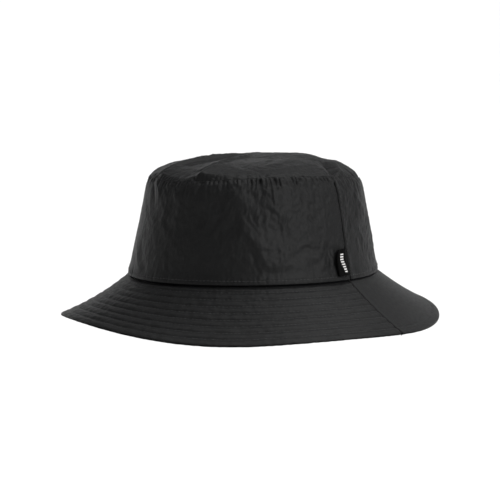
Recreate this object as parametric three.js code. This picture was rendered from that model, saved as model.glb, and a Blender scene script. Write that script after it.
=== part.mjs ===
// Bucket hat: a soft crown of one oval tip and two wall panels, a sloping brim of two double-layer
// panels, a lining, a sweatband, two fabric labels and the rows of thread that hold it together.
//
// Millimetres, +Z up. The front of the hat faces -Y and the wearer's left is +X.
// The origin is the centre of the head opening, in the plane of the seam between crown and brim.

import * as THREE from 'three';

// ---------------------------------------------------------------- driving dimensions

const CROWN_BASE = { side: 90.8, front: 98.5 };   // half widths of the wall's foot along X and Y
const CROWN_HEIGHT = 76.6;                        // brim seam to tip seam, before the rim sags
const WALL_TAPER = 0.2;                           // the wall leans in by this much of its height
const SHOULDER = { start: 62, inset: 4.9 };       // above start it also rounds in, by inset in all
const TURN = 38.5;                                // degrees, where the waves of both seams start
const SEAM_SAG = -1.2;                            // the brim seam dips at the sides
const SEAM_WAVES = [
  { order: 1, cos: 0, sin: 1.1 },
  { order: 2, cos: 1.4, sin: 0 },
];
const RIM_SAG = -3.8;                             // the tip seam sags more
const RIM_WAVES = [
  { order: 1, cos: 2, sin: -1.9 },
  { order: 2, cos: 1.8, sin: 3 },
];
const TIP_RISE = 7.6;                             // the dome's middle over the crown height
const TIP_LEAN = 5;                               // the dome is fuller a quarter turn past TURN
const TIP_FLAT = 0.25;                            // the middle of the dome, as a share, is flat
const TIP_ROUNDING = 3.2;                         // power of the dome's fall towards its seam

const BRIM_WIDTH = 58;                            // along the slope
const BRIM_SLOPE = 33.3;                          // degrees below level, half way down the brim
const BRIM_WAVES = [                              // degrees added round the soft brim
  { order: 1, cos: -0.9, sin: -0.1 },
  { order: 2, cos: -3.5, sin: 1.3 },
  { order: 3, cos: 0.2, sin: 2.3 },
  { order: 4, cos: 0.3, sin: 2.2 },
];
const BRIM_FLARE = 12.2;                          // degrees the slope eases from crown to rim
const FLARE_WAVES = [
  { order: 1, cos: 1.8, sin: -1.9 },
  { order: 2, cos: -0.4, sin: -1 },
];

const CLOTH = 0.5;                                // thickness of the shell fabric
const LINING = 0.4;
const INTERLINING = 0.4;
const BAND = 0.8;                                 // thickness of the folded sweatband
const GAP = 0.3;                                  // between pieces that touch
const BAND_HEIGHT = 32;
const SEAM_TUCK = 0.5;                            // the brim runs this far under the wall's foot
const WALL_FOOT = 0.8;                            // the wall's lower edge clears the brim seam by this

const THREAD = 0.4;
const STITCH_ROWS = 7;                            // rows across the stiffened front brim
const FIRST_ROW = 4.6;                            // from the brim seam
const ROW_PITCH = 6.65;
const EDGE_ROW = BRIM_WIDTH - 6.8;                // the row that runs right round the rim
const BASE_ROW_HEIGHT = 4.5;                      // the row above the brim seam
const SIDE_ROW_SETBACK = 2;                       // topstitch behind each side seam

const TAB = { width: 15, height: 20, leaf: 0.35, foot: 4.8, stand: 4 };   // stand in degrees
const CARE = { width: 24, height: 28, thickness: 0.4, drop: 1.5 };

const STEPS_ROUND = 64;                           // facets in a full turn
const BRIM_STEPS = 5;                             // facets from brim seam to rim
const HALF = Math.PI / 2;

// ---------------------------------------------------------------- surfaces of the hat

const radians = (degrees) => degrees * Math.PI / 180;
const mix = (a, b, t) => a + (b - a) * t;

// Level direction that points away from the wall at an angle from the front, 90 degrees at +X.
function outward(angle) {
  const x = Math.sin(angle) / CROWN_BASE.side;
  const y = -Math.cos(angle) / CROWN_BASE.front;
  return new THREE.Vector3(x, y, 0).normalize();
}

// The sum of a list of waves at an angle.
function waved(waves, angle) {
  let sum = 0;
  for (const wave of waves) {
    sum += wave.cos * Math.cos(wave.order * angle) + wave.sin * Math.sin(wave.order * angle);
  }
  return sum;
}

function seamHeight(angle) {
  return SEAM_SAG + waved(SEAM_WAVES, angle - radians(TURN));
}

// A point of the crown's wall at a height over the brim seam, moved out by offset.
function wallPoint(angle, height, offset) {
  const { side, front } = CROWN_BASE;
  const rounded = Math.max(0, height - SHOULDER.start) / (CROWN_HEIGHT - SHOULDER.start);
  const inset = WALL_TAPER * height + SHOULDER.inset * rounded ** 2;
  const level = mix(seamHeight(angle), CROWN_HEIGHT, height / CROWN_HEIGHT);
  const foot = new THREE.Vector3(side * Math.sin(angle), -front * Math.cos(angle), level);
  return foot.addScaledVector(outward(angle), offset - inset);
}

// The tip seam's height. It sags most behind the left side seam.
function rimHeight(angle) {
  return CROWN_HEIGHT + RIM_SAG + waved(RIM_WAVES, angle - radians(TURN));
}

// A height of the even wall, drawn down above the sweatband so that its top edge meets the tip seam.
function wallHeight(angle, height) {
  const share = Math.max(0, height - BAND_HEIGHT) / (CROWN_HEIGHT - BAND_HEIGHT);
  return height + share * (rimHeight(angle) - CROWN_HEIGHT);
}

// A point of the brim at a distance down its slope, moved up from the brim's top face by offset.
// The slope eases along an arc, so the brim flares a little towards its rim.
function brimPoint(angle, distance, offset) {
  const flare = radians(BRIM_FLARE + waved(FLARE_WAVES, angle));
  const start = radians(BRIM_SLOPE + waved(BRIM_WAVES, angle)) + flare / 2;
  const bend = flare / BRIM_WIDTH;
  const slope = start - bend * distance;
  const run = (Math.sin(start) - Math.sin(slope)) / bend;
  const fall = (Math.cos(slope) - Math.cos(start)) / bend;
  const point = wallPoint(angle, 0, 0);
  point.addScaledVector(outward(angle), run + offset * Math.sin(slope));
  point.z += offset * Math.cos(slope) - fall;
  return point;
}

// A point of the tip, share 0 at its centre and 1 at its seam, moved up by offset.
function tipPoint(angle, share, inset, offset) {
  const edge = wallPoint(angle, rimHeight(angle), -inset);
  const fall = Math.max(0, (share - TIP_FLAT) / (1 - TIP_FLAT));
  const middle = CROWN_HEIGHT + TIP_RISE;
  const lean = TIP_LEAN * Math.sin(angle - radians(TURN)) * fall * (1 - fall ** 2);
  const height = middle - (middle - edge.z) * fall ** TIP_ROUNDING + lean;
  return new THREE.Vector3(edge.x * share, edge.y * share, height + offset);
}

// ---------------------------------------------------------------- solids from sheets

// A sheet between two faces. Columns run round the hat and rows run down or away from its middle.
// A ring joins its last column to its first. A sheet with a pole starts at one point.
function sheet({ upper, lower, columns, rows, ring = false, pole = false }) {
  const positions = [];
  const faces = [];
  const across = ring ? columns : columns + 1;
  const grids = [upper, lower].map((face) => {
    const grid = [];
    for (let row = 0; row <= rows; row += 1) {
      const line = [];
      for (let column = 0; column < across; column += 1) {
        if (pole && row === 0 && column > 0) {
          line.push(line[0]);
        } else {
          line.push(positions.length / 3);
          positions.push(...face(column / columns, row / rows).toArray());
        }
      }
      grid.push(line);
    }
    return grid;
  });
  const at = (side, row, column) => grids[side][row][column % across];
  const quad = (a, b, c, d) => {
    if (a !== b) {
      faces.push(a, b, c);
    }
    if (c !== d) {
      faces.push(a === b ? b : a, c, d);
    }
  };
  for (let column = 0; column < columns; column += 1) {
    const next = column + 1;
    for (let row = 0; row < rows; row += 1) {
      const below = row + 1;
      quad(at(0, row, next), at(0, row, column), at(0, below, column), at(0, below, next));
      quad(at(1, row, column), at(1, row, next), at(1, below, next), at(1, below, column));
    }
    quad(at(0, rows, next), at(0, rows, column), at(1, rows, column), at(1, rows, next));
    if (!pole) {
      quad(at(0, 0, column), at(0, 0, next), at(1, 0, next), at(1, 0, column));
    }
  }
  if (!ring) {
    for (let row = 0; row < rows; row += 1) {
      const below = row + 1;
      quad(at(0, row, 0), at(1, row, 0), at(1, below, 0), at(0, below, 0));
      quad(at(1, row, columns), at(0, row, columns), at(0, below, columns), at(1, below, columns));
    }
  }
  const geometry = new THREE.BufferGeometry();
  geometry.setAttribute('position', new THREE.Float32BufferAttribute(positions, 3));
  geometry.setIndex(faces);
  geometry.computeVertexNormals();
  return geometry;
}

// The front half of the hat runs from the right side seam to the left one, the rear half back again.
const SEAM_MARGIN = radians(0.1);
const HALVES = {
  front: (share) => mix(-HALF + SEAM_MARGIN, HALF - SEAM_MARGIN, share),
  rear: (share) => mix(HALF + SEAM_MARGIN, 3 * HALF - SEAM_MARGIN, share),
  whole: (share) => mix(-HALF, 3 * HALF, share),
};

// A layer of the wall through a list of heights, from offset outer in to offset inner.
function wallLayer(half, outer, inner, heights) {
  const rows = heights.length - 1;
  const place = (offset) => (across, down) => {
    const angle = HALVES[half](across);
    return wallPoint(angle, wallHeight(angle, heights[Math.round(down * rows)]), offset);
  };
  const ring = half === 'whole';
  const columns = ring ? STEPS_ROUND : STEPS_ROUND / 2;
  return sheet({ upper: place(outer), lower: place(inner), columns, rows, ring });
}

// A layer of the brim between two distances, from offset upper down to offset lower.
function brimLayer(half, upper, lower, from, to, rows) {
  const place = (offset) => (across, down) => {
    return brimPoint(HALVES[half](across), mix(from, to, down), offset);
  };
  const ring = half === 'whole';
  const columns = ring ? STEPS_ROUND : STEPS_ROUND / 2;
  return sheet({ upper: place(upper), lower: place(lower), columns, rows, ring });
}

function tipLayer(inset, upper, lower, rows) {
  const place = (offset) => (across, down) => {
    const share = down === 0 ? 0 : mix(TIP_FLAT, 1, (down * rows - 1) / (rows - 1));
    return tipPoint(HALVES.whole(across), share, inset, offset);
  };
  return sheet({
    upper: place(upper), lower: place(lower), columns: STEPS_ROUND, rows, ring: true, pole: true,
  });
}

// ---------------------------------------------------------------- materials and assembly

const FINISHES = {
  shell: { color: 0x2a2a2b, roughness: 0.62 },
  lining: { color: 0x1f1f20, roughness: 0.75 },
  interlining: { color: 0xd8d6d0, roughness: 0.9 },
  sweatband: { color: 0x1b1b1c, roughness: 0.8 },
  thread: { color: 0x303031, roughness: 0.55 },
  tab: { color: 0x161617, roughness: 0.7 },
  care: { color: 0xe9e8e4, roughness: 0.8 },
};

const hat = new THREE.Group();

function add(name, geometry, finish) {
  const material = new THREE.MeshStandardMaterial({ ...FINISHES[finish], metalness: 0 });
  const mesh = new THREE.Mesh(geometry, material);
  mesh.name = name;
  hat.add(mesh);
  return mesh;
}

// ---------------------------------------------------------------- crown and lining

const shoulder = [73, 68.5, SHOULDER.start];
const liningOuter = -CLOTH - GAP;
const liningInner = liningOuter - LINING;
const bandOuter = liningInner - GAP;
const bandInner = bandOuter - BAND;

add('crown_tip', tipLayer(0, GAP + CLOTH, GAP, 6), 'shell');
add('lining_tip', tipLayer(-liningOuter, 0, -LINING, 5), 'lining');
for (const half of ['front', 'rear']) {
  const panel = wallLayer(half, 0, -CLOTH, [CROWN_HEIGHT, ...shoulder, WALL_FOOT]);
  add(`crown_panel_${half}`, panel, 'shell');
  const liningTop = CROWN_HEIGHT - LINING - GAP;
  const lining = wallLayer(half, liningOuter, liningInner, [liningTop, ...shoulder, WALL_FOOT]);
  add(`lining_panel_${half}`, lining, 'lining');
}
const band = wallLayer('whole', bandOuter, bandInner, [BAND_HEIGHT, WALL_FOOT]);
add('sweatband', band, 'sweatband');

// ---------------------------------------------------------------- brim

// The front brim carries an interlining between its layers; the rear brim is two soft layers.
const interliningTop = -CLOTH - GAP;
const interliningFoot = interliningTop - INTERLINING;
const underTop = { front: interliningFoot - GAP, rear: interliningTop };
const interliningEdge = BRIM_WIDTH - 2;

for (const half of ['front', 'rear']) {
  const top = brimLayer(half, 0, -CLOTH, -SEAM_TUCK, BRIM_WIDTH, BRIM_STEPS);
  add(`brim_top_${half}`, top, 'shell');
  const under = brimLayer(half, underTop[half], underTop[half] - CLOTH, 0, BRIM_WIDTH, BRIM_STEPS);
  add(`brim_under_${half}`, under, 'shell');
}
const stiffener = brimLayer('front', interliningTop, interliningFoot, 0, interliningEdge, BRIM_STEPS);
add('brim_interlining_front', stiffener, 'interlining');

// ---------------------------------------------------------------- thread

const threadFoot = GAP;
const threadTop = GAP + THREAD;
const halfThread = THREAD / 2;

function brimRow(half, distance) {
  return brimLayer(half, threadTop, threadFoot, distance - halfThread, distance + halfThread, 1);
}

for (let row = 0; row < STITCH_ROWS; row += 1) {
  add(`brim_stitch_row_${row + 1}`, brimRow('front', FIRST_ROW + row * ROW_PITCH), 'thread');
}
add('brim_edge_stitch', brimRow('whole', EDGE_ROW), 'thread');

const baseHeights = [BASE_ROW_HEIGHT + halfThread, BASE_ROW_HEIGHT - halfThread];
add('crown_base_stitch', wallLayer('whole', threadTop, threadFoot, baseHeights), 'thread');

// Each side row runs up the rear panel beside its seam, from the base row to just below the tip.
function sideStitch(seam, towardsRear) {
  const setback = SIDE_ROW_SETBACK / CROWN_BASE.front;
  const angles = [setback - halfThread / CROWN_BASE.front, setback + halfThread / CROWN_BASE.front];
  const edges = angles.map((angle) => seam + towardsRear * angle);
  const [first, last] = towardsRear > 0 ? edges : edges.reverse();
  const heights = [...shoulder, BASE_ROW_HEIGHT + 1];
  const rows = heights.length - 1;
  const place = (offset) => (across, down) => {
    const angle = mix(first, last, across);
    return wallPoint(angle, wallHeight(angle, heights[Math.round(down * rows)]), offset);
  };
  return sheet({ upper: place(threadTop), lower: place(threadFoot), columns: 1, rows });
}

add('side_seam_stitch_left', sideStitch(HALF, 1), 'thread');
add('side_seam_stitch_right', sideStitch(-HALF, -1), 'thread');

// ---------------------------------------------------------------- labels

// The side tab is a folded strip. Its two leaves leave the left side seam and point to the front,
// and it turns about the line of that seam.
function tabGeometry() {
  const root = 0.6;
  const halfGap = GAP / 2;
  const half = halfGap + TAB.leaf;
  const bend = TAB.width - half;
  const outline = new THREE.Shape();
  outline.moveTo(root, -half);
  outline.lineTo(bend, -half);
  outline.absarc(bend, 0, half, -HALF, HALF, false);
  outline.lineTo(root, half);
  outline.lineTo(root, halfGap);
  outline.lineTo(bend, halfGap);
  outline.absarc(bend, 0, halfGap, HALF, -HALF, true);
  outline.lineTo(root, -halfGap);
  outline.closePath();
  return new THREE.ExtrudeGeometry(outline, {
    depth: TAB.height, bevelEnabled: false, curveSegments: 6, steps: 1,
  });
}

const tabLift = 0.9;
const tabFoot = wallPoint(HALF, TAB.foot, tabLift);
const seamUp = wallPoint(HALF, SHOULDER.start, tabLift).sub(tabFoot).normalize();
const front = new THREE.Vector3(0, -1, 0);
const away = new THREE.Vector3().crossVectors(seamUp, front);
const reach = front.clone().multiplyScalar(Math.cos(radians(TAB.stand)));
reach.addScaledVector(away, Math.sin(radians(TAB.stand)));
const thickness = new THREE.Vector3().crossVectors(seamUp, reach);
const tab = add('side_label', tabGeometry(), 'tab');
tab.position.copy(tabFoot);
tab.quaternion.setFromRotationMatrix(new THREE.Matrix4().makeBasis(reach, thickness, seamUp));

// The care label hangs straight down from the top edge of the sweatband at the back.
function careGeometry() {
  const half = CARE.width / 2;
  const corner = 1;
  const outline = new THREE.Shape();
  outline.moveTo(-half, -0.5);
  outline.lineTo(-half, corner - CARE.height);
  outline.absarc(corner - half, corner - CARE.height, corner, Math.PI, 3 * HALF, false);
  outline.lineTo(half - corner, -CARE.height);
  outline.absarc(half - corner, corner - CARE.height, corner, -HALF, 0, false);
  outline.lineTo(half, -0.5);
  outline.closePath();
  return new THREE.ExtrudeGeometry(outline, {
    depth: CARE.thickness, bevelEnabled: false, curveSegments: 4, steps: 1,
  });
}

const careHinge = wallPoint(Math.PI, BAND_HEIGHT, bandInner);
careHinge.y -= CARE.drop;
const care = add('care_label', careGeometry(), 'care');
care.position.set(0, careHinge.y + CARE.thickness / 2, careHinge.z);
care.rotation.x = HALF;

export default hat;
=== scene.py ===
from functools import partial
import math

import bpy
import numpy as np
from mathutils import Matrix, Vector


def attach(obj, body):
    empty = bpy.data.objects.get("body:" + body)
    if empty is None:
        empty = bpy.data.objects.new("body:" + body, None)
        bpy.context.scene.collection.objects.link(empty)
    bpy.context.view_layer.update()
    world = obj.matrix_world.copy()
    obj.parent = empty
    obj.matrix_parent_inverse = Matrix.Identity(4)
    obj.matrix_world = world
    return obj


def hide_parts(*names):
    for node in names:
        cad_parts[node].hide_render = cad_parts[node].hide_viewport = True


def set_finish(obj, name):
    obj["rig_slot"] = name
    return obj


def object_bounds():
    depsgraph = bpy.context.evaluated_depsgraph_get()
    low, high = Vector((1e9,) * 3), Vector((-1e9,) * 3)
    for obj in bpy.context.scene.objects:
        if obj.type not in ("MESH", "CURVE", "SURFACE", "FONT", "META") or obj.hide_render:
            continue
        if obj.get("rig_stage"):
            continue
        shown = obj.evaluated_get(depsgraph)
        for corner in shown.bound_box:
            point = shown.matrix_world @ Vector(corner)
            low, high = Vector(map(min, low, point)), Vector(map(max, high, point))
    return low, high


# A black bucket hat in soft nylon, sewn from two wall panels, a tip and a double-layer brim.
# Shapes are worked out in millimetres and turned into metres when a mesh is made.
# Places on the hat are given by girth, millimetres round the brim seam from the middle of the
# front towards the wearer's left, and by a height up the wall or a distance down the brim.

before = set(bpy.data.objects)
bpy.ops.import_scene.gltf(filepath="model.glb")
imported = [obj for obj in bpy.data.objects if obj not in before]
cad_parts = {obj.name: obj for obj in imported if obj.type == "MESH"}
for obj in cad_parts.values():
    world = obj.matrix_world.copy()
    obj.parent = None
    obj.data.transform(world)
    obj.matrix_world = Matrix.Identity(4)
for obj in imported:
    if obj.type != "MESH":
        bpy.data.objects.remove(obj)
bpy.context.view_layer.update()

# ---------------------------------------------------------------- driving dimensions

MM = 0.001
BASE_SIDE = 90.8          # half widths of the crown at the brim seam
BASE_FRONT = 98.5
CROWN_HEIGHT = 76.6
WALL_TAPER = 0.2
SHOULDER_START = 62.0
SHOULDER_INSET = 4.9
TIP_RISE = 7.6            # of the middle of the top above the crown's height
TIP_LEAN = 5.0            # the dome stands fuller towards the back left
TURN = math.radians(38.5)                     # the waves of both seams are counted from here
SEAM_SAG = -1.2           # the brim seam dips a little below the opening's plane at the sides
SEAM_WAVES = ((1, 0.0, 1.1), (2, 1.4, 0.0))   # order, cosine, sine
RIM_SAG = -3.8            # the tip seam sits lower at the back and the left
RIM_WAVES = ((1, 2.0, -1.9), (2, 1.8, 3.0))
TIP_ROUNDING = 4.2
BRIM_WIDTH = 58.0
BRIM_SLOPE = 33.3         # degrees below level half way down the brim
BRIM_WAVES = ((1, -0.9, -0.1), (2, -3.5, 1.3), (3, 0.2, 2.3), (4, 0.3, 2.2))
BRIM_FLARE = 12.2         # degrees the slope eases from the seam to the rim
FLARE_WAVES = ((1, 1.8, -1.9), (2, -0.4, -1.0))

CLOTH = 0.4               # thickness of the shell fabric
LINING = 0.22             # thickness of the lining fabric
STIFFENER = 0.2           # thickness of the brim's interlining
MAP_UNIT = 10.0           # millimetres of cloth to one unit of its UV map
TIP_START = 0.35          # the tip's cloth ends this far inside its seam
BRIM_STACK = 1.8          # thickness of the whole brim
BRIM_TUCK = 1.6           # the brim's cloth goes this far in under the wall
STITCH_ROWS = 7
FIRST_ROW = 4.6
ROW_PITCH = 6.65
EDGE_ROW = BRIM_WIDTH - 6.8
BASE_ROW = 4.5
BAND_HEIGHT = 32.0
CARE_WIDTH = 24.0
STITCH_PITCH = 2.9

# ---------------------------------------------------------------- the hat's plain surfaces


def unit(vectors):
    return vectors / np.linalg.norm(vectors, axis=-1, keepdims=True)


def outward(angle):
    """Level unit vectors away from the wall, the angle counted from the front, 90 degrees at +X."""
    x = np.sin(angle) / BASE_SIDE
    y = -np.cos(angle) / BASE_FRONT
    return unit(np.stack([x, y, 0 * x], axis=-1))


def waved(waves, angle):
    """The sum of waves, each an order, a cosine and a sine part."""
    total = 0 * angle
    for order, cosine, sine in waves:
        total = total + cosine * np.cos(order * angle) + sine * np.sin(order * angle)
    return total


def foot_ellipse(angle):
    height = SEAM_SAG + waved(SEAM_WAVES, angle - TURN)
    return np.stack([BASE_SIDE * np.sin(angle), -BASE_FRONT * np.cos(angle), height], axis=-1)


def lengths_along(points):
    """How far along a line each of its points lies."""
    steps = np.linalg.norm(np.diff(points, axis=0), axis=1)
    return np.concatenate([[0.0], np.cumsum(steps)])


# the girth that belongs to each angle, over a turn and a half
ANGLES = np.linspace(-math.pi, 2 * math.pi, 9001)
GIRTHS = lengths_along(foot_ellipse(ANGLES)[:, :2])
GIRTHS -= np.interp(0.0, ANGLES, GIRTHS)
SIDE_SEAM = float(np.interp(math.pi / 2, ANGLES, GIRTHS))    # girth at the left side seam
GIRTH = 4 * SIDE_SEAM


def angle_at(girth):
    return np.interp(girth, GIRTHS, ANGLES)


def rim_height(girth):
    """Height of the tip seam."""
    return CROWN_HEIGHT + RIM_SAG + waved(RIM_WAVES, angle_at(girth) - TURN)


def shoulder(height):
    """How far up the rounded shoulder a height is, from 0 to 1."""
    return np.maximum(0, height - SHOULDER_START) / (CROWN_HEIGHT - SHOULDER_START)


def wall_base(girth, height):
    angle = angle_at(girth)
    inset = WALL_TAPER * height + SHOULDER_INSET * shoulder(height) ** 2
    point = foot_ellipse(angle) - outward(angle) * inset[..., None]
    point[..., 2] = point[..., 2] * (1 - height / CROWN_HEIGHT) + height
    return point


def wall_normal(girth, height):
    lean = WALL_TAPER + 2 * SHOULDER_INSET * shoulder(height) / (CROWN_HEIGHT - SHOULDER_START)
    normal = outward(angle_at(girth))
    normal[..., 2] = lean
    return unit(normal)


def brim_slopes(angle, distance):
    """The brim's slope at its seam and at a distance from it, and how fast it eases between."""
    flare = np.radians(BRIM_FLARE + waved(FLARE_WAVES, angle))
    start = np.radians(BRIM_SLOPE + waved(BRIM_WAVES, angle)) + flare / 2
    bend = flare / BRIM_WIDTH
    return start, start - bend * distance, bend


def brim_base(girth, distance):
    angle = angle_at(girth)
    start, slope, bend = brim_slopes(angle, distance)
    run = (np.sin(start) - np.sin(slope)) / bend
    fall = (np.cos(slope) - np.cos(start)) / bend
    point = foot_ellipse(angle) + outward(angle) * run[..., None]
    point[..., 2] -= fall
    return point


def brim_normal(girth, distance):
    angle = angle_at(girth)
    slope = brim_slopes(angle, distance)[1]
    normal = outward(angle) * np.sin(slope)[..., None]
    normal[..., 2] = np.cos(slope)
    return normal


def tip_rim(girth):
    return wall_base(girth, rim_height(girth))


def tip_base(girth, inset):
    """The tip, inset counted in millimetres from its seam towards its centre."""
    rim = tip_rim(girth)
    radius = np.hypot(rim[..., 0], rim[..., 1])
    share = np.clip(1 - inset / radius, 0, 2)
    point = rim * share[..., None]
    middle = CROWN_HEIGHT + TIP_RISE
    point[..., 2] = middle - (middle - rim[..., 2]) * share**TIP_ROUNDING
    lean = TIP_LEAN * np.sin(angle_at(girth) - TURN)
    point[..., 2] += lean * share * (1 - np.minimum(share, 1) ** 2)
    return point


def tip_normal(girth, inset):
    rim = tip_rim(girth)
    radius = np.hypot(rim[..., 0], rim[..., 1])
    share = np.clip(1 - inset / radius, 0, 2)
    rise = CROWN_HEIGHT + TIP_RISE - rim[..., 2]
    lean = rise * TIP_ROUNDING * share ** (TIP_ROUNDING - 1) / radius
    slope = lean / radius
    return unit(np.stack([rim[..., 0] * slope, rim[..., 1] * slope, 1 + 0 * lean], -1))


# ---------------------------------------------------------------- noise, pleats and creases


def ripple(x, y, seed, wrap=None):
    """Smooth noise between about -0.7 and 0.7, with one bump to each unit of x and y."""
    rows, columns = 64, 1024
    turns = np.random.default_rng(seed).random((rows, columns)) * 2 * math.pi
    i, j = np.floor(x).astype(int), np.floor(y).astype(int)
    fx, fy = x - i, y - j

    def corner(di, dj):
        turn = turns[(j + dj) % rows, (i + di) % (wrap or columns)]
        return np.cos(turn) * (fx - di) + np.sin(turn) * (fy - dj)

    def ease(t):
        return t**3 * (t * (t * 6 - 15) + 10)

    top = corner(0, 0) * (1 - ease(fx)) + corner(1, 0) * ease(fx)
    low = corner(0, 1) * (1 - ease(fx)) + corner(1, 1) * ease(fx)
    return top * (1 - ease(fy)) + low * ease(fy)


def round_noise(girth, height, size, tall, seed):
    """Noise that joins up round the hat, its bumps about size wide and tall high."""
    wrap = max(2, round(GIRTH / size))
    return ripple(girth * wrap / GIRTH, height / tall, seed, wrap)


def bell(x, width):
    return np.exp(-((x / width) ** 2))


def pleats(girth, away, pitch, reach, slant, seed):
    """Puckers that leave a seam: sharp near it, fading and leaning over with distance from it.
    pitch is their spacing and reach how far they run."""
    lean = slant * away * round_noise(girth, 0 * away, 50, 1, seed + 1) * 2
    strength = np.clip(0.75 + 1.5 * round_noise(girth, 0 * away, 22, 1, seed + 2), 0.12, 1.4)
    fine = round_noise(girth + lean, away * 0.25 / pitch, pitch / 2, 1, seed)
    coarse = round_noise(girth + lean, away * 0.12 / pitch, pitch * 1.2, 1, seed + 3)
    reach = reach * (0.75 + 0.8 * round_noise(girth, 0 * away, 2 * pitch, 1, seed + 4))
    near = np.exp(-((np.maximum(away, 0) / reach) ** 1.4))
    far = np.exp(-np.maximum(away, 0) / (2.2 * reach))
    shape = 1.5 * fine * near + 1.0 * coarse * far
    return strength * (shape - 0.45 * np.abs(shape))


def gathers(girth, away, pitch, reach, seed):
    """Tight creases that run a short way off a seam between rounded bulges, from 0 on a bulge
    to 1 along a crease. Each crease has its own lean, length and depth."""
    level = 0 * away
    drift = 0.5 * pitch * round_noise(girth, level, 2.2 * pitch, 1, seed)
    lean = 0.9 * away * round_noise(girth, level, 3 * pitch, 1, seed + 1)
    place = (girth + drift + lean) / pitch
    own = np.round(place) * 7.3
    length = reach * np.clip(0.95 + 1.6 * ripple(own, level + 0.5, seed + 2), 0.25, 1.8)
    depth = np.clip(0.7 + 1.1 * ripple(own, level + 0.5, seed + 3), 0.25, 1.2)
    fold = 1 - np.abs(np.sin(math.pi * place)) ** 0.55
    return depth * fold * np.exp(-((np.maximum(away, 0) / length) ** 2))


def crease(x, y, start, end, depth, width, other_width):
    """A fold along a line: depth up at the line, falling away to each side over its own width."""
    dx, dy = end[0] - start[0], end[1] - start[1]
    length = math.hypot(dx, dy)
    along = ((x - start[0]) * dx + (y - start[1]) * dy) / length**2
    across = ((y - start[1]) * dx - (x - start[0]) * dy) / length
    fade = np.sqrt(np.clip(4 * along * (1 - along), 0, 1)) * (np.clip(along, 0, 1) == along)
    side = np.where(across > 0, width, other_width)
    round_top = 0.12 * width
    soft = np.sqrt(across**2 + round_top**2) - round_top
    return depth * fade * np.exp(-np.maximum(soft, 0) / side)


# ---------------------------------------------------------------- relief of the crown

# Folds of the wall: start and end as girth and height, depth, and the widths to either side.
WALL_FOLDS = (
    ((47, 68), (66, 28), 1.5, 17, 9),
    ((59, 46), (78, 6), 1.7, 12, 7),
    ((61, 26), (75, 9), -0.8, 4, 3),
    ((57, 69), (85, 63), -1.4, 5, 4),
    ((73, 65), (93, 47), 1.0, 5, 2.5),
    ((69, 61), (87, 49), -0.6, 3, 3),
    ((100, 46), (126, 24), 0.8, 6, 3),
    ((96, 37), (120, 16), -0.6, 5, 4),
    ((75, 13), (101, 25), 1.0, 6, 3),
    ((97, 26), (131, 17), 0.8, 6, 3.5),
    ((104, 66), (128, 52), -0.8, 5, 4),
    ((12, 65), (35, 47), 0.9, 9, 6),
    ((8, 11), (25, 27), 0.7, 5, 4),
    ((24, 46), (46, 18), 0.6, 12, 9),
    ((-46, 72), (-33, 56), -0.9, 3, 3),
    ((-38, 74), (-27, 60), 0.8, 3, 2),
    ((-12, 74), (-5, 58), 0.8, 4, 2),
    ((-62, 30), (-38, 8), 0.6, 4, 2),
    ((-48, 28), (-30, 6), -0.5, 5, 3),
    ((-70, 62), (-40, 76), 0.5, 4, 3),
    ((-26, 75), (-14, 60), -0.7, 3, 2),
    ((180, 60), (215, 20), 1.6, 16, 12),
    ((235, 66), (262, 30), 0.8, 8, 4),
    ((290, 54), (320, 18), -1.0, 12, 9),
    ((335, 20), (372, 52), 0.9, 9, 5),
    ((385, 66), (405, 24), 1.2, 12, 8),
    ((420, 30), (440, 12), 0.5, 5, 3),
    ((-130, 58), (-104, 22), 0.8, 12, 8),
    ((-100, 66), (-76, 44), -0.5, 8, 6),
)


def wall_broad(girth, height):
    """The slow dents and folds that the lining follows too."""
    free = bell(height - 40, 30)
    relief = 1.5 * free * round_noise(girth, height, 75, 60, 11)
    relief += 0.55 * free * round_noise(girth, height, 30, 34, 12)
    # the folds wander a little off their straight lines
    wander = 8.0 * round_noise(girth, height, 24, 20, 13)
    girth, height = girth + wander, height + 5.0 * round_noise(girth, height, 19, 17, 14)
    for fold in WALL_FOLDS:
        for turn in (0, GIRTH, -GIRTH):
            relief += crease(girth + turn, height, *fold)
    return relief


def crumple(x, y, size, seed):
    """Crisp wrinkles, as thin tightly woven nylon keeps them: ridges, then smaller valleys."""
    slow_x, slow_y = 0.55 * x / size, 0.55 * y / size
    x = (x + 0.45 * size * ripple(slow_x, slow_y, seed + 5)) / size
    y = (y + 0.45 * size * ripple(slow_x, slow_y, seed + 6)) / size
    ridges = 0.24 - np.sqrt(ripple(x, y, seed) ** 2 + 0.002)
    valleys = np.sqrt(ripple(2.3 * x, 1.9 * y, seed + 1) ** 2 + 0.003) - 0.22
    return ridges + 0.42 * valleys + 0.16 * ripple(5.3 * x, 4.7 * y, seed + 2)


def seam_gap(girth):
    """Millimetres round the hat to the nearest side seam."""
    return np.abs(girth % (2 * SIDE_SEAM) - SIDE_SEAM)


def turn_from_front(girth):
    """Radians from the front, above zero on the wearer's left and below it on the right."""
    return (angle_at(girth) + math.pi) % (2 * math.pi) - math.pi


TAB_REST = (9, 15, 16)    # where a flipped tab lies: behind the left seam, up the wall, reach


def wall_crumple(girth, height):
    """The wall is most crumpled towards the left side and smoothest towards the right, at its
    foot, and behind the foot of the left side seam, where the tab can flip over."""
    patch = np.clip(0.65 + 1.4 * round_noise(girth, height, 44, 36, 21), 0.25, 1)
    angle = turn_from_front(girth)
    worn = np.clip((height - 3) / 12, 0.15, 1)
    worn *= 1 + 0.6 * bell(angle - 1.15, 0.5) - 0.8 * bell(angle + 0.95, 0.8)
    behind, up, reach = TAB_REST
    worn *= 1 - 0.8 * bell(np.hypot(girth - SIDE_SEAM - behind, height - up), reach)
    coarse = 1.9 * patch * worn * crumple(girth, height, 15, 22)
    return coarse + 0.85 * (1.4 - patch) * worn * crumple(girth, height, 7, 26)


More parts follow.
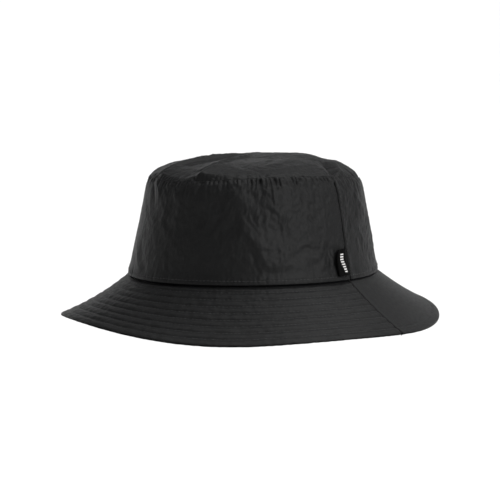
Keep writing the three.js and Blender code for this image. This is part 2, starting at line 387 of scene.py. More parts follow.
def tip_seam_gathers(girth, top):
    """How the tip seam gathers the wall below it: most left of the front and beside the left
    side seam. top is how far below the seam a place is."""
    angle = angle_at(girth)
    gather = 0.45 + 0.9 * bell(angle - 0.78, 0.42) + 0.5 * bell(angle - 1.42, 0.12)
    relief = 0.35 * bell(top - 2.8, 2.0) - 0.25 * gather * bell(top - 0.1, 0.7)
    hold = 1 - 0.9 * bell(top, 0.9)
    relief -= 2.5 * gather * hold * gathers(girth, top, 4.3, 4.4, 41)
    relief += 0.4 * hold * pleats(girth, top, 7.0, 6.0, 0.8, 45)
    return relief + 0.8 * hold * pleats(girth, top, 15.0, 9.0, 0.6, 50)


def wall_relief(girth, height):
    relief = wall_broad(girth, height) + wall_crumple(girth, height)
    # the foot rolls in to the brim seam under a row of stitches
    relief += 0.75 * bell(height - 4.2, 4.2) - 2.1 * bell(height - 0.6, 0.55)
    relief -= 0.15 * bell(height - BASE_ROW, 0.7)
    relief += 0.35 * pleats(girth, np.abs(height - BASE_ROW), 4.6, 3.2, 0.3, 31)
    relief += tip_seam_gathers(girth, rim_height(girth) - height)
    # the side seams are tight valleys with the allowance pressed to the rear
    gap = seam_gap(girth)
    rear = np.abs(girth - 2 * SIDE_SEAM) < SIDE_SEAM
    relief += rear * 0.35 * bell(gap - 2.4, 2.2) - 1.3 * bell(gap, 0.5)
    return relief + 0.5 * pleats(height, gap, 5.2, 3.4, 0.1, 51) * (gap < 20)


# Folds of the tip: start and end in plan, depth, and the widths to either side.
TIP_FOLDS = (
    ((-38, -66), (-19, 12), 3.4, 9, 1.6),
    ((2, -66), (-10, 8), 2.2, 8, 1.5),
    ((-25, -64), (-13, -2), -1.2, 4, 5),
    ((9, -88), (14, -46), 4.8, 4.5, 14),
    ((-32, -80), (-26, -50), 3.0, 2.5, 10),
    ((54, 14), (74, -9), 1.4, 8, 2.2),
    ((62, 22), (76, 4), 1.8, 6, 2),
    ((12, 66), (68, 2), -1.2, 5, 4),
    ((30, 60), (70, 10), 1.0, 5, 3),
    ((76, 0), (43, 29), -3.8, 3.4, 3.4),
    ((70, 16), (48, 32), 1.0, 4, 3),
    ((40, -56), (26, -30), 0.4, 5, 3),
    ((-64, 20), (-38, 8), 0.8, 5, 3),
    ((-56, 44), (-30, 30), -0.7, 5, 3),
    ((10, 74), (2, 44), 0.8, 6, 3),
    ((38, 62), (20, 40), -0.7, 5, 3),
    ((-60, -34), (-36, -16), 0.7, 5, 3),
)
PLAN_SHIFT = 300          # keeps the tip's noise clear of zero
TIP_CORNER = (54, 47, 13)   # a fuller place behind the left side seam: its plan and reach


def tip_broad(girth, inset):
    point = tip_base(girth, inset)
    x, y = point[..., 0], point[..., 1]
    free = np.clip(inset / 10, 0, 1)
    relief = 1.1 * free * ripple(x / 42 + 9, y / 42 + 9, 61)
    relief += 0.4 * free * ripple(x / 17 + 9, y / 17 + 9, 62)
    pinned = np.clip((inset - TIP_START) / 4, 0, 1)
    corner_x, corner_y, reach = TIP_CORNER
    relief += 1.5 * pinned * bell(np.hypot(x - corner_x, y - corner_y), reach)
    for fold in TIP_FOLDS:
        relief += pinned * crease(x, y, *fold)
    return relief


def tip_relief(girth, inset):
    point = tip_base(girth, inset)
    x, y = point[..., 0] + PLAN_SHIFT, point[..., 1] + PLAN_SHIFT
    patch = np.clip(0.3 + 1.3 * ripple(x / 38, y / 38, 63), 0, 1)
    relief = tip_broad(girth, inset) + 1.6 * patch * crumple(x, y, 16, 64)
    relief += 0.7 * (1.3 - patch) * crumple(x, y, 7.5, 67)
    relief += 0.3 * bell(inset - 3, 2) - 0.15 * bell(inset - TIP_START, 0.6)
    hold = np.clip((inset - TIP_START) / 1.5, 0, 1)
    relief -= 1.1 * hold * gathers(girth, inset, 4.3, 2.6, 71)
    return relief + 1.1 * hold * pleats(girth, inset, 14.0, 6.0, 0.5, 77)


# ---------------------------------------------------------------- relief of the brim


def quilting(distance):
    """Soft channels between the rows of stitches, 0 on a row and 1 at a crest."""
    rows = [FIRST_ROW + ROW_PITCH * row for row in range(STITCH_ROWS)] + [EDGE_ROW]
    edges = np.array([0.0] + rows + [BRIM_WIDTH])
    place = np.interp(distance, edges, np.arange(len(edges)))
    return np.abs(np.sin(math.pi * place)) ** 0.6


def brim_broad(girth, distance, half):
    out = np.clip(distance / BRIM_WIDTH, 0, 1)
    swing = 1.6 if half == "rear" else 0.9
    relief = swing * out * round_noise(girth, distance, 85, 90, 81)
    return relief + 0.35 * out * round_noise(girth, distance, 34, 40, 82)


def front_brim_relief(girth, distance, seed):
    """The quilted front half, flattest towards the right."""
    inner = np.clip(distance / 2, 0, 1)
    channels = quilting(distance) * inner
    calm = 1 - 0.25 * bell(turn_from_front(girth) + 0.9, 0.6)
    local = round_noise(girth, distance / ROW_PITCH * 2.3, 6.0, 1, seed)
    relief = calm * (0.9 * channels - 0.55) + 0.3 * local * inner * (0.35 + 0.65 * channels)
    return relief + 0.32 * round_noise(girth, distance, 2.6, 4.2, seed + 1) * inner


def rear_brim_relief(girth, distance, seed):
    """The smooth rear half, with its one row of stitches near the rim."""
    row = np.abs(distance - EDGE_ROW)
    relief = 0.16 * bell(distance - (BRIM_WIDTH - 3), 2.4) - 0.3 * bell(row, 0.8)
    relief += 0.22 * pleats(girth, row, 5.0, 2.6, 0.4, seed + 2)
    patch = np.clip(0.2 + 1.3 * round_noise(girth, distance, 60, 50, seed + 3), 0, 1)
    return relief + 0.6 * patch * crumple(girth, distance, 17, seed + 4)


def brim_relief(girth, distance, half, face=1):
    """face is 1 for the top of the brim and -1 for its underside."""
    seed = 90 if face > 0 else 120
    own_relief = front_brim_relief if half == "front" else rear_brim_relief
    relief = brim_broad(girth, distance, half) * face + own_relief(girth, distance, seed)
    near = bell(distance, 3.0) * (distance >= 0)
    relief += 0.25 * pleats(girth, np.abs(distance), 4.0, 2.6, 0.3, seed + 6) * near
    gap = seam_gap(girth) * (1 + distance / BASE_FRONT)
    return relief + 0.15 * bell(gap - 2.2, 1.6) - 1.3 * bell(gap, 0.7)


# ---------------------------------------------------------------- meshes


def mesh_object(name, points, faces, uvs=None):
    """faces is an array of quads; a triangle repeats its last corner. uvs has a pair per corner."""
    mesh = bpy.data.meshes.new(name)
    faces = np.asarray(faces)
    triangle = faces[:, 2] == faces[:, 3]
    sizes = np.where(triangle, 3, 4)
    keep = np.ones(faces.shape, bool)
    keep[triangle, 3] = False
    corners = faces[keep]
    mesh.vertices.add(len(points))
    mesh.vertices.foreach_set("co", (np.asarray(points) * MM).astype(np.float32).ravel())
    mesh.loops.add(len(corners))
    mesh.loops.foreach_set("vertex_index", corners.astype(np.int32))
    mesh.polygons.add(len(faces))
    starts = np.concatenate([[0], np.cumsum(sizes)[:-1]])
    mesh.polygons.foreach_set("loop_start", starts.astype(np.int32))
    mesh.polygons.foreach_set("loop_total", sizes.astype(np.int32))
    mesh.polygons.foreach_set("use_smooth", np.ones(len(faces), bool))
    if uvs is not None:
        layer = mesh.uv_layers.new(name="cloth")
        layer.data.foreach_set("uv", np.asarray(uvs)[keep].astype(np.float32).ravel())
    mesh.update(calc_edges=True)
    mesh.validate()
    piece = bpy.data.objects.new(name, mesh)
    bpy.context.scene.collection.objects.link(piece)
    return piece


def shell(name, outer, inner, across, down, ring=False):
    """A closed sheet between two grids of points [row, column]. across and down are the cloth's
    own measures of the columns and rows, in millimetres, for its weave."""
    rows, columns = outer.shape[:2]
    points = np.concatenate([outer.reshape(-1, 3), inner.reshape(-1, 3)])
    spans = columns if ring else columns - 1
    wide = np.append(across, across[0] + GIRTH) if ring else across
    faces, uvs = [], []

    def quads(*corners):
        """Corners are a side, rows and columns; a column past the end of a ring wraps round."""
        faces.append(np.stack([(side * rows + row) * columns + column % columns
                               for side, row, column in corners], 1))
        uvs.append(np.stack([np.stack([wide[column + 0 * row], down[row + 0 * column]], -1)
                             for side, row, column in corners], 1) / MAP_UNIT)

    r, c = np.meshgrid(np.arange(rows - 1), np.arange(spans), indexing="ij")
    r, c = r.ravel(), c.ravel()
    quads((0, r, c + 1), (0, r, c), (0, r + 1, c), (0, r + 1, c + 1))
    quads((1, r, c), (1, r, c + 1), (1, r + 1, c + 1), (1, r + 1, c))
    c, last = np.arange(spans), rows - 1
    quads((0, 0, c), (0, 0, c + 1), (1, 0, c + 1), (1, 0, c))
    quads((0, last, c + 1), (0, last, c), (1, last, c), (1, last, c + 1))
    if not ring:
        r, last = np.arange(rows - 1), columns - 1
        quads((0, r, 0), (1, r, 0), (1, r + 1, 0), (0, r + 1, 0))
        quads((1, r, last), (0, r, last), (0, r + 1, last), (1, r + 1, last))
    return mesh_object(name, points, np.concatenate(faces), np.concatenate(uvs))


def disc(name, outer, inner):
    """A closed sheet whose last row is drawn in to one point on each side. Its map is its plan."""
    rows, columns = outer.shape[0] - 1, outer.shape[1]
    size = rows * columns
    centres = [grid[-1].mean(axis=0) for grid in (outer, inner)]
    points = np.concatenate([outer[:-1].reshape(-1, 3), inner[:-1].reshape(-1, 3), centres])
    r, c = np.meshgrid(np.arange(rows - 1), np.arange(columns), indexing="ij")
    r, c = r.ravel() * columns, c.ravel()
    n = (c + 1) % columns
    front = np.stack([r + c, r + n, r + columns + n, r + columns + c], 1)
    back = front[:, [1, 0, 3, 2]] + size
    c = np.arange(columns)
    n = (c + 1) % columns
    last = size - columns
    top, low = np.full(columns, 2 * size), np.full(columns, 2 * size + 1)
    top_fan = np.stack([last + c, last + n, top, top], 1)
    low_fan = np.stack([size + last + n, size + last + c, low, low], 1)
    rim = np.stack([n, c, size + c, size + n], 1)
    faces = np.concatenate([front, back, top_fan, low_fan, rim])
    return mesh_object(name, points, faces, points[faces][..., :2] / MAP_UNIT)


HALVES = {"front": (-SIDE_SEAM, SIDE_SEAM), "rear": (SIDE_SEAM, 3 * SIDE_SEAM)}
SEAM_STEP = 0.22          # columns stand this close together
SEAM_REACH = 2.2          # within this distance of a side seam


def half_columns(half, step=0.85):
    """Girths of a half's columns, a step apart but closer near its seams."""
    start, end = HALVES[half]
    near = np.arange(0, SEAM_REACH, SEAM_STEP)
    count = max(2, round((end - start - 2 * SEAM_REACH) / step) + 1)
    middle = np.linspace(start + SEAM_REACH, end - SEAM_REACH, count)
    return np.concatenate([start + near, middle, (end - near)[::-1]])


def ring_columns(count):
    """Girths of evenly spaced columns all the way round."""
    return np.linspace(0, GIRTH, count, endpoint=False)


def spread(spans, end=None):
    """Places over several spans, each a start, an end and a step, and a last place of its own."""
    places = [np.arange(*span) for span in spans]
    return np.concatenate(places if end is None else places + [[end]])


def lifted(base, normal, lift):
    return base + normal * lift[..., None]


def wall_at(girth, height, lift=0.0):
    return lifted(wall_base(girth, height), wall_normal(girth, height),
                  wall_relief(girth, height) + lift)


def brim_at(girth, distance, half, lift=0.0):
    return lifted(brim_base(girth, distance), brim_normal(girth, distance),
                  brim_relief(girth, distance, half) + lift)


def brim_under_at(girth, distance, half, lift=0.0):
    relief = brim_relief(girth, distance, half, -1)
    return lifted(brim_base(girth, distance), brim_normal(girth, distance),
                  -BRIM_STACK - relief + lift)


def tip_at(girth, inset, lift=0.0):
    return lifted(tip_base(girth, inset), tip_normal(girth, inset),
                  tip_relief(girth, inset) + lift)


pieces = {}


def keep(piece, body, slot, *nodes):
    pieces[piece.name] = piece
    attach(piece, body)
    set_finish(piece, slot)
    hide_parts(*nodes)
    return piece


def up_the_wall(girths, heights):
    """Grids of girth and height, the rows above the sweatband drawn down to the tip seam."""
    girth, height = np.meshgrid(girths, heights)
    share = np.maximum(0, height - BAND_HEIGHT) / (CROWN_HEIGHT - BAND_HEIGHT)
    return girth, height + share * (rim_height(girth) - CROWN_HEIGHT)


ALLOWANCE = np.array([3.2, 2.2, 1.3, 0.7, 0.35])     # how far in the wall's turned top edge runs
ALLOWANCE_GAP = 0.1       # between it and the tip
WALL_TOP = CROWN_HEIGHT - 0.05
WALL_ROWS = ((0.6, 6.6, 0.3), (6.6, 68, 1.1), (68, WALL_TOP, 0.36))
TIP_ROWS = ((TIP_START, 6, 0.32), (6, 70, 1.5))
PAST_CENTRE = 90          # an inset that reaches the tip's centre from any side


def make_walls():
    heights = spread(WALL_ROWS, WALL_TOP)[::-1]
    for half in HALVES:
        girths = half_columns(half, 0.66)
        girth, height = up_the_wall(girths, heights)
        outer, inner = wall_at(girth, height), wall_at(girth, height, -CLOTH)
        # the top edge is turned in under the tip
        girth, inset = np.meshgrid(girths, ALLOWANCE)
        outer = np.concatenate([tip_at(girth, inset, -CLOTH - ALLOWANCE_GAP), outer])
        inner = np.concatenate([tip_at(girth, inset, -2 * CLOTH - ALLOWANCE_GAP), inner])
        rows = np.concatenate([CROWN_HEIGHT + ALLOWANCE, heights])
        piece = shell(f"crown_wall_{half}", outer, inner, girths, rows)
        keep(piece, "hat", "shell", f"crown_panel_{half}")


def make_tip():
    girth, inset = np.meshgrid(ring_columns(800), spread(TIP_ROWS, PAST_CENTRE))
    piece = disc("crown_top", tip_at(girth, inset), tip_at(girth, inset, -CLOTH))
    keep(piece, "hat", "shell", "crown_tip")


def rolled_edge(face):
    """Distances and lifts of a brim layer's outer face, with its rolled rim at the end."""
    radius = BRIM_STACK / 2
    turn_start = BRIM_WIDTH - radius
    flat = spread(((-BRIM_TUCK, 0.6, 0.3), (0.6, turn_start, 0.6)))
    turns = np.radians(np.linspace(0, 84, 9))
    tuck = 0.25 * np.minimum(flat, 0) ** 2 if face > 0 else 0 * flat

    def section(bend, depth):
        distances = np.concatenate([flat, turn_start + bend * np.sin(turns)])
        return distances, np.concatenate([tuck + depth, depth + bend * (1 - np.cos(turns))])

    return *section(radius, 0), *section(radius - CLOTH, CLOTH)


def make_brim():
    for half in HALVES:
        girths = half_columns(half)
        for face, name, node in ((1, "brim_upper", "brim_top"), (-1, "brim_lower", "brim_under")):
            place = brim_at if face > 0 else brim_under_at
            distances, drops, inside, inside_drops = rolled_edge(face)
            outer = place(*np.meshgrid(girths, distances), half, -face * drops[:, None])
            inner = place(*np.meshgrid(girths, inside), half, -face * inside_drops[:, None])
            sides = (outer, inner) if face > 0 else (inner, outer)
            piece = shell(f"{name}_{half}", *sides, girths, distances)
            keep(piece, "hat", "shell", f"{node}_{half}")


def make_interlining():
    girths = half_columns("front", 2.5)
    distances = np.arange(0.5, BRIM_WIDTH - 2, 1.2)
    girth, distance = np.meshgrid(girths, distances)
    normal = brim_normal(girth, distance)
    sheet = lifted(brim_base(girth, distance), normal,
                   brim_broad(girth, distance, "front") - BRIM_STACK / 2)
    piece = shell("brim_stiffener_front", sheet + normal * STIFFENER, sheet, girths, distances)
    keep(piece, "hat", "interlining", "brim_interlining_front")


make_walls()
make_tip()
make_brim()
make_interlining()

# ---------------------------------------------------------------- threads

THREAD_RADIUS = 0.2
THREAD_SIDES = 6
STITCH_GAP = 0.45         # between a stitch and the next
STITCH_LEAD = 0.2         # from where a stitch's place starts to its thread
STITCH_PROFILE = (-0.32, -0.02, 0.12, 0.17, 0.17, 0.12, -0.02, -0.32)   # lift along one stitch
STITCH_LIFT_SPREAD = 0.05
STITCH_SWAY_SPREAD = 0.09


def stitch_places(place, ways):
    """Where a row's stitches run along it, at an even pitch on the real surface."""
    along = lengths_along(place(ways)[0])
    count = int(along[-1] // STITCH_PITCH)
    starts = (along[-1] - count * STITCH_PITCH) / 2 + STITCH_PITCH * np.arange(count)
    shares = np.linspace(0, 1, len(STITCH_PROFILE)) * (STITCH_PITCH - STITCH_GAP) + STITCH_LEAD
    return np.interp(starts[:, None] + shares[None, :], along, ways)


def stitch_tubes(place, ways, seed):
    """The vertices and faces of one row. place gives points and normals for ways along it."""
    at = stitch_places(place, ways)
    count, steps = at.shape
    points, normals = (grid.reshape(count, steps, 3) for grid in place(at.ravel()))
    random = np.random.default_rng(seed)
    lift = np.array(STITCH_PROFILE) + STITCH_LIFT_SPREAD * random.standard_normal((count, 1))
    tangents = unit(np.gradient(points, axis=1))
    sides = unit(np.cross(tangents, normals))
    ups = np.cross(sides, tangents)
    sway = STITCH_SWAY_SPREAD * random.standard_normal((count, 2))
    shares = np.linspace(0, 1, steps)
    swaying = sway[:, :1] * (1 - shares) + sway[:, 1:] * shares
    points = points + ups * lift[..., None] + sides * swaying[..., None]
    turns = 2 * math.pi * np.arange(THREAD_SIDES) / THREAD_SIDES
    radius = THREAD_RADIUS * np.sqrt(np.clip(1 - (2 * shares - 1) ** 6, 0.15, 1))
    ring = ups[:, :, None] * np.cos(turns)[:, None] + sides[:, :, None] * np.sin(turns)[:, None]
    tube = points[:, :, None] + ring * radius[:, None, None]
    k, s, t = np.meshgrid(np.arange(count), np.arange(steps - 1), np.arange(THREAD_SIDES),
                          indexing="ij")
    k, s, t = k.ravel(), s.ravel(), t.ravel()
    n = (t + 1) % THREAD_SIDES

    def index(step, turn):
        return (k * steps + step) * THREAD_SIDES + turn

    walls = np.stack([index(s, t), index(s, n), index(s + 1, n), index(s + 1, t)], 1)
    first = np.arange(count) * steps * THREAD_SIDES
    last = first + (steps - 1) * THREAD_SIDES
    caps = [np.stack([end + corner for corner in order], 1)
            for end, order in ((first, (0, 3, 2, 1)), (first, (0, 5, 4, 3)),
                               (last, (0, 1, 2, 3)), (last, (0, 3, 4, 5)))]
    return tube.reshape(-1, 3), np.concatenate([walls] + caps)


def thread_piece(name, node, rows):
    """One piece from the vertices and faces of several rows of stitches."""
    faces, count = [], 0
    for tube, quads in rows:
        faces.append(quads + count)
        count += len(tube)
    points = np.concatenate([tube for tube, quads in rows])
    piece = mesh_object(name, points, np.concatenate(faces))
    keep(piece, "hat", "thread", *([node] if node else []))


def row_at(shape, normal, level, face=1, upright=False):
    """Where a row of stitches runs: along the hat at one level, or upright at one girth.
    face is -1 where the row's side of the cloth faces against its normals."""
    def place(ways):
        levels = np.full(len(ways), level)
        spots = (levels, ways) if upright else (ways, levels)
        return shape(*spots), face * normal(*spots)
    return place


def brim_row(half, distance, top):
    if top:
        return row_at(partial(brim_at, half=half), brim_normal, distance)
    return row_at(partial(brim_under_at, half=half), brim_normal, distance, face=-1)


SIDE_ROW_GAP = 2.2        # between a side seam and the row of stitches behind it


def make_threads():
    spans = {half: np.linspace(*HALVES[half], 1500) for half in HALVES}
    for row in range(STITCH_ROWS):
        distance = FIRST_ROW + ROW_PITCH * row
        thread_piece(f"brim_quilting_{row + 1}", f"brim_stitch_row_{row + 1}",
                     [stitch_tubes(brim_row("front", distance, top), spans["front"],
                                   200 + 2 * row + top) for top in (True, False)])
    thread_piece("brim_edge_topstitch", "brim_edge_stitch",
                 [stitch_tubes(brim_row(half, EDGE_ROW, top), spans[half], 230 + top)
                  for half in HALVES for top in (True, False)])
    ways = np.linspace(-SIDE_SEAM + 0.6, 3 * SIDE_SEAM - 0.6, 3000)
    thread_piece("crown_base_topstitch", "crown_base_stitch",
                 [stitch_tubes(row_at(wall_at, wall_normal, BASE_ROW), ways, 240)])
    for side, girth in (("left", SIDE_SEAM + SIDE_ROW_GAP),
                        ("right", 3 * SIDE_SEAM - SIDE_ROW_GAP)):
        ways = np.linspace(BASE_ROW + 1.5, float(rim_height(girth)) - 2, 500)
        row = row_at(wall_at, wall_normal, girth, upright=True)
        thread_piece(f"side_topstitch_{side}", f"side_seam_stitch_{side}",
                     [stitch_tubes(row, ways, 245)])


make_threads()

# ---------------------------------------------------------------- lining and sweatband

LINING_GAP = 1.75         # from the wall's outer face to the lining where it hangs closest
TIP_LINING_GAP = 1.4
BAND_GAP = 3.0            # from the wall's outer face to the inner side of the sweatband
BAND_BACK = 2.15          # and to its outer side
BAND_FOLLOW = 0.9         # how much of the wall's folds the band follows
BAND_ROWS = (BAND_HEIGHT - 4, 5.0)    # heights of its two rows of stitches
BAND_REACH = 33.4         # how far the band runs down from its folded top edge
ROW_STOP = 1.5            # its rows stop this far from each side of the care label
LINING_TOP = CROWN_HEIGHT - 1.4
LINING_WALL_ROWS = ((1.2, 66, 1.4), (66, LINING_TOP, 0.6))
LINING_TIP_ROWS = ((1.4, 12, 0.7), (12, 70, 2.0))


def lining_at(girth, height, lift=0.0):
    """The lining hangs inwards of the wall and follows its slow folds."""
    top = rim_height(girth) - height
    free = np.clip((height - BAND_HEIGHT) / 16, 0, 1) * np.clip(top / 9, 0, 1)
    loose = 1.0 + 1.6 * round_noise(girth, height * 0.5, 34, 30, 301)
    slack = free * (np.clip(loose, 0.1, 2) - 0.45 * pleats(girth, top, 6.0, 6.0, 0.4, 303))
    relief = wall_broad(girth, height) * np.clip(top / 12, 0.2, 1)
    relief -= LINING_GAP + slack + 0.5 * bell(seam_gap(girth), 0.7)
    return lifted(wall_base(girth, height), wall_normal(girth, height), relief + lift)


def tip_lining_at(girth, inset, lift=0.0):
    relief = tip_broad(girth, inset) * np.clip(inset / 14, 0, 1) - TIP_LINING_GAP
    folds = 1 + pleats(girth, inset, 6.0, 6.0, 0.4, 311)
    relief -= 0.25 * np.clip(inset / 8, 0, 1) * folds + 0.6 * bell(inset - 2.2, 1.6)
    return lifted(tip_base(girth, inset), tip_normal(girth, inset), relief + lift)


def band_follow(girth, height):
    return wall_broad(girth, height) * np.clip(height / 20, 0, 1) * BAND_FOLLOW


def band_at(girth, height, lift=0.0):
    hem, foot = BAND_ROWS
    relief = band_follow(girth, height) - BAND_GAP - 0.22 * round_noise(girth, height, 22, 20, 321)
    relief += 0.22 * bell(height - hem, 0.7) - 0.28 * bell(height - hem - 2.4, 1.5)
    relief += 0.35 * bell(height - foot, 0.7)
    relief -= 0.2 * pleats(girth, np.abs(height - foot), 5, 3, 0.2, 323)
    # its two ends meet at the rear
    relief += 0.6 * bell(girth - 2 * SIDE_SEAM, 0.6)
    return lifted(wall_base(girth, height), wall_normal(girth, height), relief + lift)


def make_linings():
    heights = spread(LINING_WALL_ROWS)[::-1]
    for half in HALVES:
        girths = half_columns(half, 1.6)
        girth, height = up_the_wall(girths, heights)
        piece = shell(f"crown_lining_{half}", lining_at(girth, height),
                      lining_at(girth, height, -LINING), girths, heights)
        keep(piece, "hat", "lining", f"lining_panel_{half}")
    girth, inset = np.meshgrid(ring_columns(400), spread(LINING_TIP_ROWS, PAST_CENTRE))
    piece = disc("tip_lining", tip_lining_at(girth, inset), tip_lining_at(girth, inset, -LINING))
    keep(piece, "hat", "lining", "lining_tip")


def make_sweatband():
    # a folded strip, made as one thickness with a rounded top edge
    downs = np.concatenate([[0.05], np.geomspace(0.2, BAND_REACH, 47)])
    girths = ring_columns(620) - SIDE_SEAM
    girth, down = np.meshgrid(girths, downs)
    height = BAND_HEIGHT - down
    rounding = 0.4 * np.sqrt(np.clip(1 - down / 0.5, 0, 1))
    inner = band_at(girth, height, rounding)
    outer = lifted(wall_base(girth, height), wall_normal(girth, height),
                   band_follow(girth, height) - BAND_BACK - rounding)
    piece = shell("head_band", outer, inner, girths, BAND_HEIGHT - downs, ring=True)
    keep(piece, "hat", "sweatband", "sweatband")
    gap = CARE_WIDTH / 2 + ROW_STOP
    ways = np.linspace(2 * SIDE_SEAM + gap - GIRTH, 2 * SIDE_SEAM - gap, 3000)
    thread_piece("head_band_topstitch", None,
                 [stitch_tubes(row_at(band_at, wall_normal, level, face=-1), ways, 251 + row)
                  for row, level in enumerate(BAND_ROWS)])


make_linings()
make_sweatband()

# ---------------------------------------------------------------- labels

TAB_WIDTH = 15.0
TAB_HEIGHT = 20.0
TAB_FOOT = 4.8            # height of its lower edge above the brim seam
TAB_LIFT = 0.9            # from the wall's plain surface to the tab's sewn edge
TAB_STAND = 4.0           # degrees that the tab stands off the wall
TAB_LEAF = 0.32           # thickness of the tape
TAB_TURN = 1.0            # radius of the loop's fold
TAB_ROOT = 0.3            # distance from the seam to where the loop's leaves begin
TAB_SPLIT = 0.25          # half the distance between the leaves there
TAB_BULGE = 1.7           # how far the outer leaf bows out
CARE_HEIGHT = 28.0
CARE_TAPE = 0.28          # thickness of the care label
CARE_DEPTH = 2.3          # from the wall's plain surface to the band where the label is sewn
CARE_GAP = 1.7            # and on to the label


def tab_section():
    """The loop's section, from the seam out along the outer leaf and back along the inner one,
    as distances along the tab and across it."""
    shares = np.linspace(0, 1, 25)
    run = TAB_WIDTH - TAB_TURN
    along = TAB_ROOT + (run - TAB_ROOT) * shares
    across = TAB_SPLIT + (TAB_TURN - TAB_SPLIT) * shares
    bulge = TAB_BULGE * np.sin(math.pi * shares) ** 2
    turns = np.radians(np.linspace(0, 180, 17))
    outer = np.stack([along, across + bulge], 1)[:-1]
    fold = np.stack([run + TAB_TURN * np.sin(turns), TAB_TURN * np.cos(turns)], 1)
    inner = np.stack([along, -across], 1)[-2::-1]
    return np.concatenate([outer, fold, inner])


def make_side_tab():
    """A woven tape folded in a soft loop, its two ends caught in the left side seam."""
    seam, foot_height = np.array([SIDE_SEAM]), np.array([TAB_FOOT])
    root = wall_base(seam, foot_height)[0]
    foot = root + wall_normal(seam, foot_height)[0] * TAB_LIFT
    up = unit(wall_base(seam, np.array([SHOULDER_START]))[0] - root)
    front = np.array([0.0, -1.0, 0.0])
    stand = math.radians(TAB_STAND)
    reach = front * math.cos(stand) + np.cross(up, front) * math.sin(stand)
    thick = np.cross(up, reach)
    section = tab_section()
    steps = unit(np.gradient(section, axis=0))
    inward = np.stack([steps[:, 1], -steps[:, 0]], 1)
    ups = np.linspace(0, TAB_HEIGHT, 41)

    def surface(offset):
        flat = section + inward * offset
        u, v = (flat[:, side, None] + 0 * ups for side in (0, 1))
        share, ends = u / TAB_WIDTH, 2 * ups / TAB_HEIGHT - 1
        corner = np.clip(ends, 0, 1)
        # the free edge is drawn back at its upper corner and the lower one lies closer
        u = u * (1 - 0.14 * corner**2 - 0.1 * ends**2)
        v = v * (1 - 0.15 * ends**2) + 0.5 * share * ends
        w = ups - 0.5 * share * corner**3
        return foot + reach * u[..., None] + thick * v[..., None] + up * w[..., None]

    piece = shell("side_tab_loop", surface(0.0), surface(TAB_LEAF), ups, lengths_along(section))
    keep(piece, "side_tab", "side_label", "side_label")


def make_care_label():
    rear, level = np.array([2 * SIDE_SEAM]), np.array([BAND_HEIGHT])
    hinge = wall_base(rear, level)[0] - CARE_DEPTH * wall_normal(rear, level)[0]
    wides = np.linspace(-CARE_WIDTH / 2, CARE_WIDTH / 2, 49)
    downs = np.linspace(0.5, CARE_HEIGHT, 57)
    wide, down = np.meshgrid(wides, downs)
    share = down / CARE_HEIGHT
    edge = 2 * wide / CARE_WIDTH
    curl = 0.5 * np.sin(math.pi * share) - 0.9 * share**2 * edge**2 - 0.25 * share
    ripples = 0.12 * ripple(wide / 7 + 40, down / 9 + 40, 331)
    y = hinge[1] - CARE_GAP - 0.6 * np.abs(curl) - np.abs(ripples)
    # the lower corners are a little rounded
    narrowed = 1 - 0.0175 * edge**24 * share**20
    points = np.stack([wide * narrowed, y, hinge[2] - down], -1)
    piece = shell("care_tape", points, points + [0.0, CARE_TAPE, 0.0], wides, downs)
    keep(piece, "care_tab", "care_label", "care_label")


make_side_tab()
make_care_label()

# ---------------------------------------------------------------- materials


